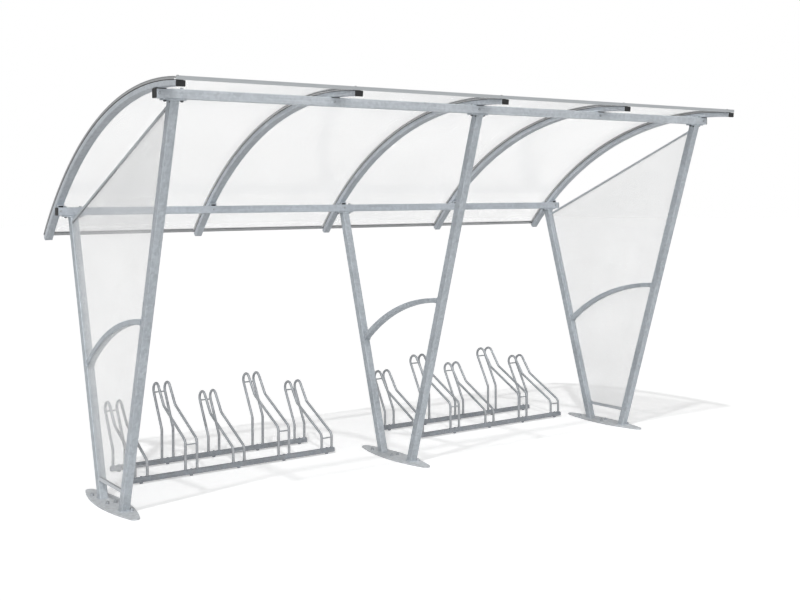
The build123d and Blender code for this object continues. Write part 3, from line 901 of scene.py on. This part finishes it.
crossRod = {"radius": 0.005, "half": 0.0325, "rear": (0.845, 0.3729), "front": (railY[0], 0.110)}
radius, half = crossRod["radius"], crossRod["half"]
crossGrid = turnedGrid([(0, -half, 0), (radius, -half, 0), (radius, half, 0), (0, half, 0)], sides=14)
crossPlaces = [
    (x, y, z + lift) for x, lift in zip(holderX, holderLift) for y, z in (crossRod["rear"], crossRod["front"])
]
crossGrids = [placeCopies(crossGrid, crossPlaces, alongX, up)]
smoothCross = makePiece("round_cross_rods", crossGrids, zinc["hoopZinc"])
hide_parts("rack_cross_rods")
print("wheel holders made")


# Weld beads

weld = {
    "size": 0.0038, "rodSize": 0.0026, "ripple": 0.16, "pitch": 0.0042, "lift": 0.35,
    "legCorner": 0.006, "braceCorner": 0.005,
}


def weldGrid(halfA, halfB, corner, size=weld["size"]):
    # A round bead carried round the outline of a tube: its middle stands off by lift times its size, and its
    # radius swells as the absolute value of a sine, once a ripple
    girth = roundedOutline(halfA, halfB, corner, 8)[2]
    ripples = max(8, round(girth / weld["pitch"]))
    count = ripples * 3
    path, out, _ = roundedOutline(halfA, halfB, corner, count)
    swell = 1 + weld["ripple"] * np.abs(np.sin(math.pi * np.arange(count) * ripples / count))
    turn = np.arange(8) * math.pi / 4
    away = size * (weld["lift"] + swell[:, None] * np.cos(turn))
    above = size * (weld["lift"] + swell[:, None] * np.sin(turn))
    a = path[:, :1] + out[:, :1] * away
    b = path[:, 1:] + out[:, 1:] * away
    grid = np.stack([a, b, above], -1)
    return np.concatenate([grid, grid[:1]])


def legSection(which):
    # Half of the leaning tube's width along Y where a level plane cuts it
    return tubeHalf * math.hypot(1, legLean[which])


weldGrids = []
for which in beamY:
    ring = weldGrid(tubeHalf, legSection(which), weld["legCorner"])
    feet = [(x, legFootY[which], plateTop) for x in frameX]
    topY = beamY[which] - legLean[which] * headThickness
    tops = [(x, topY, beamUnderside[which] - headThickness) for x in frameX]
    weldGrids.append(placeCopies(ring, feet, up, alongX))
    weldGrids.append(placeCopies(ring, tops, -up, alongX))


brace = {"rearTip": 0.035, "frontTip": 0.012, "onFace": 0.003}  # how near its tips and the legs to look


def braceEnds():
    # Where the brace's upper and lower arcs meet the facing sides of the legs, in the YZ plane
    points = meshPoints("brace_middle")
    rearTip = points[points[:, 1] > points[:, 1].max() - brace["rearTip"]]
    frontTip = points[points[:, 1] < points[:, 1].min() + brace["frontTip"]]
    ends = []
    for tip, which, way in ((rearTip, "rear", -1), (frontTip, "front", 1)):
        face = legFootY[which] + way * legSection(which) + legLean[which] * (tip[:, 2] - plateTop)
        onFace = tip[np.abs(tip[:, 1] - face) < brace["onFace"]]
        ends.append((which, way, onFace[:, 2].min(), onFace[:, 2].max()))
    return ends


for which, way, lowZ, highZ in braceEnds():
    middleZ = (lowZ + highZ) / 2
    faceY = legFootY[which] + way * legSection(which) + legLean[which] * (middleZ - plateTop)
    slope = np.array([0, legLean[which], 1.0]) / math.hypot(1, legLean[which])
    outward = np.cross(alongX, slope) * -way
    halfSlope = (highZ - lowZ) / 2 * math.hypot(1, legLean[which])
    ring = weldGrid(tubeHalf, halfSlope, weld["braceCorner"])
    places = [(x, faceY, middleZ) for x in frameX]
    weldGrids.append(placeCopies(ring, places, outward, alongX))
makePiece("frame_welds", weldGrids, zinc["weldZinc"], sharpAngle=180)

rodRing = weldGrid(hoop["radius"], hoop["radius"], hoop["radius"] * 0.98, size=weld["rodSize"])
rodPoints = np.concatenate([railPoints + (way * hoop["spacing"] / 2, 0, 0) for way in (-1, 1)])
makePiece("rack_welds", [placeCopies(rodRing, rodPoints, up, alongX)], zinc["railZinc"], sharpAngle=180)
print("weld beads made")


# Moulded end caps stand for the plain ones of the solids

cap = {
    "face": 0.005, "edge": 0.0022, "dish": 0.0008, "rim": 0.003, "slope": 0.001,
    "plug": 0.012, "plugInset": 0.0035, "beamCorner": 0.005, "rafterCorner": 0.004, "points": 48,
}
tiny = 1e-6  # half width of a ring that closes a surface


def capGrid(halfA, halfB, corner):
    # Rounded rectangles stacked from the plug to the face: the edge is a quarter circle, the face dished
    quarter = np.linspace(0, math.pi / 2, 5)
    rim = cap["edge"] + cap["rim"]
    insets = [halfB, cap["plugInset"], cap["plugInset"], 0.0, *(cap["edge"] * (1 - np.cos(quarter)))]
    insets += [rim, rim + cap["slope"], halfB]
    heights = [-cap["plug"], -cap["plug"], 0.0, 0.0, *(cap["face"] - cap["edge"] * (1 - np.sin(quarter)))]
    heights += [cap["face"], cap["face"] - cap["dish"], cap["face"] - cap["dish"]]
    rings = []
    for inset, height in zip(insets, heights):
        a, b = max(halfA - inset, tiny), max(halfB - inset, tiny)
        bend = max(0.0, min(corner, b, a) - 1e-5)
        ring = roundedOutline(a, b, min(bend, b * 0.99), cap["points"])[0]
        rings.append(np.column_stack([ring, np.full(cap["points"], height)]))
    rings[0][:, 0] = rings[-1][:, 0] = 0
    return np.array(rings)


beamCap = capGrid(tubeHalf, tubeHalf, cap["beamCorner"])
beamEnds, beamWays = [], []
for which in beamY:
    for end, way in ((frontBeam[0][0], -1), (frontBeam[1][0], 1)):
        beamEnds.append((end, beamY[which], beamUnderside[which] + tubeHalf))
        beamWays.append((way, 0, 0))
beamCapGrids = [placeCopies(beamCap, beamEnds, beamWays, (0, 1, 0))]
beamCaps = makePiece("moulded_beam_caps", beamCapGrids, blackPlastic)
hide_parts("beam_end_caps")

rafterPoints = meshPoints("rafter_middle")
rafterReach = np.hypot(rafterPoints[:, 1] - roofY, rafterPoints[:, 2] - roofZ)
rafterInner, rafterOuter = rafterReach.min(), rafterReach.max()
rafterMid = (rafterInner + rafterOuter) / 2
frontAngle = np.arctan2(rafterPoints[:, 2] - roofZ, rafterPoints[:, 1] - roofY).max()
rafterCap = capGrid(rafterHalf, (rafterOuter - rafterInner) / 2, cap["rafterCorner"])
tip = np.array([0, roofY + rafterMid * math.cos(frontAngle), roofZ + rafterMid * math.sin(frontAngle)])
forward = (0, -math.sin(frontAngle), math.cos(frontAngle))
rafterCapGrids = [placeCopies(rafterCap, [tip + (x, 0, 0) for x in rafterX], forward, alongX)]
rafterCaps = makePiece("moulded_rafter_caps", rafterCapGrids, blackPlastic)
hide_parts("rafter_end_caps")

# Rubber pads squeezed between the rafters and the front beam
pad = {
    "halfX": 0.0285, "halfY": 0.0268, "low": -0.0035, "high": 0.0004, "forward": 0.0005,
    "edge": 0.0008, "edgeHeight": 0.001, "corner": 0.003, "points": 32,
}


def padGrid():
    # A slab with round edges: rounded rectangles stacked over its thickness
    low, high = pad["low"], pad["high"]
    heights = [low, low, low + pad["edgeHeight"], high - pad["edgeHeight"], high, high]
    insets = [pad["halfX"], pad["edge"], 0, 0, pad["edge"], pad["halfX"]]
    rings = []
    for inset, height in zip(insets, heights):
        a, b = max(pad["halfX"] - inset, tiny), max(pad["halfY"] - inset, tiny)
        ring = roundedOutline(a, b, min(pad["corner"], b * 0.9), pad["points"])[0]
        rings.append(np.column_stack([ring, np.full(pad["points"], height)]))
    return np.array(rings)


padPoints = [(x, beamY["front"] - pad["forward"], frontBeam[1][2]) for x in rafterX]
makePiece("rafter_pads", [placeCopies(padGrid(), padPoints, up, alongX)], blackRubber)

# Vent plugs near the tops of the front legs, on both sides
vent = {"radius": 0.0055, "proud": 0.0012, "behind": 0.002, "below": 0.007, "fromFront": 0.012}
ventZ = beamUnderside["front"] - headThickness - vent["below"]
ventY = beamY["front"] - legLean["front"] * (headThickness + vent["below"]) - tubeHalf + vent["fromFront"]
ventGrid = turnedGrid([
    (0, -vent["behind"], 0), (vent["radius"], -vent["behind"], 0), (vent["radius"], vent["proud"] * 0.5, 0),
    (vent["radius"] * 0.8, vent["proud"], 0), (0, vent["proud"], 0),
])
ventPoints = [(x + way * tubeHalf, ventY, ventZ) for x in frameX for way in (-1, 1)]
ventWays = [(way, 0, 0) for x in frameX for way in (-1, 1)]
makePiece("vent_plugs", [placeCopies(ventGrid, ventPoints, ventWays, up)], blackPlastic)
print("caps, pads and plugs made")


# Floor, world, lamps and camera

studio = {
    "floorColour": (0.82, 0.82, 0.82, 1), "bounceColour": (0.36, 0.36, 0.36, 1),
    "floorLift": 0.41, "floorHalf": 60.0, "floorHeight": -0.0005, "worldLevel": 0.25, "reflectedLevel": 0.5,
    "key": {"strength": 1.25, "angle": 2.0, "azimuth": 219.0, "elevation": 56.0},
    "fill": {"strength": 1.35, "angle": 70.0, "azimuth": 248.0, "elevation": 25.0},
}


def seenRays(tree):
    # 1 where the camera looks, straight or through a clear sheet, and 1 where a reflection looks
    rays = newNode(tree, "LightPath").outputs
    straight = mathNode(tree, "MAXIMUM", rays["Is Camera Ray"], rays["Is Transmission Ray"])
    return straight, rays["Is Glossy Ray"]


def makeFloor():
    # Pale floor that keeps the shadow; where it is seen, a lift of its own takes it to white
    mesh = bpy.data.meshes.new("floor")
    steps = np.linspace(-studio["floorHalf"], studio["floorHalf"], 3)
    grid = np.stack([*np.meshgrid(steps, steps), np.full((3, 3), studio["floorHeight"])], -1)
    mesh.from_pydata(grid.reshape(-1, 3), [], gridQuads(3, 3, False))
    floor = bpy.data.objects.new("floor", mesh)
    scene.collection.objects.link(floor)
    material, tree, shader, _ = newMaterial("paleFloor")
    seen = mathNode(tree, "MAXIMUM", *seenRays(tree))
    colour = mixColour(tree, seen, studio["bounceColour"], studio["floorColour"])
    lift = mathNode(tree, "MULTIPLY", seen, studio["floorLift"])
    feed(tree, shader, Base_Color=colour, Roughness=0.9, Specular_IOR_Level=0.0)
    feed(tree, shader, Emission_Color=(1, 1, 1, 1), Emission_Strength=lift)
    mesh.materials.append(material)
    floor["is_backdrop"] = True


def makeWorld():
    # Soft grey light for the object, brighter in reflections, and white where the world itself is seen
    world = bpy.data.worlds.new("studio")
    scene.world = world
    world.use_nodes = True
    tree = world.node_tree
    seen, glossy = seenRays(tree)
    reflected = rangeNode(tree, glossy, 0.0, 1.0, studio["worldLevel"], studio["reflectedLevel"])
    level = rangeNode(tree, seen, 0.0, 1.0, reflected, 1.0)
    feed(tree, tree.nodes["Background"], Color=(1, 1, 1, 1), Strength=level)


def makeSun(name, strength, angle, azimuth, elevation):
    # Azimuth is where the light comes from, in degrees from +X towards +Y
    light = bpy.data.lights.new(name, "SUN")
    light.energy = strength
    light.angle = math.radians(angle)
    lamp = bpy.data.objects.new(name, light)
    a, e = math.radians(azimuth), math.radians(elevation)
    lamp.matrix_world = Matrix.Rotation(a, 4, "Z") @ Matrix.Rotation(math.pi / 2 - e, 4, "Y")
    scene.collection.objects.link(lamp)


cameraView = {  # yaw and pitch in degrees, roll in radians
    "place": (-4.3241, -6.1415, 1.777), "sensor": 36.0, "lens": 49.81, "shift": (0.0207, -0.1213),
    "yaw": 34.6297, "pitch": 0.3945, "roll": 0.0050,
}


def makeCamera():
    # Right, up and back directions from yaw, pitch and roll, as the columns of the camera's matrix
    a, p, roll = math.radians(cameraView["yaw"]), math.radians(cameraView["pitch"]), cameraView["roll"]
    ahead = np.array([math.sin(a) * math.cos(p), math.cos(a) * math.cos(p), -math.sin(p)])
    right = np.array([math.cos(a), -math.sin(a), 0.0])
    top = np.cross(right, ahead)
    turnedRight = math.cos(roll) * right - math.sin(roll) * top
    turnedTop = math.sin(roll) * right + math.cos(roll) * top
    columns = np.stack([turnedRight, turnedTop, -ahead], 1)
    data = bpy.data.cameras.new("camera")
    data.sensor_width = cameraView["sensor"]
    data.lens = cameraView["lens"]
    data.shift_x, data.shift_y = cameraView["shift"]
    camera = bpy.data.objects.new("camera", data)
    camera.matrix_world = Matrix.Translation(cameraView["place"]) @ Matrix(columns.tolist()).to_4x4()
    scene.collection.objects.link(camera)
    scene.camera = camera


makeFloor()
makeWorld()
makeSun("keyLamp", **studio["key"])
makeSun("fillLamp", **studio["fill"])
makeCamera()
scene.view_settings.view_transform = "Standard"
print("stage, lamps and camera set")

low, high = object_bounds()
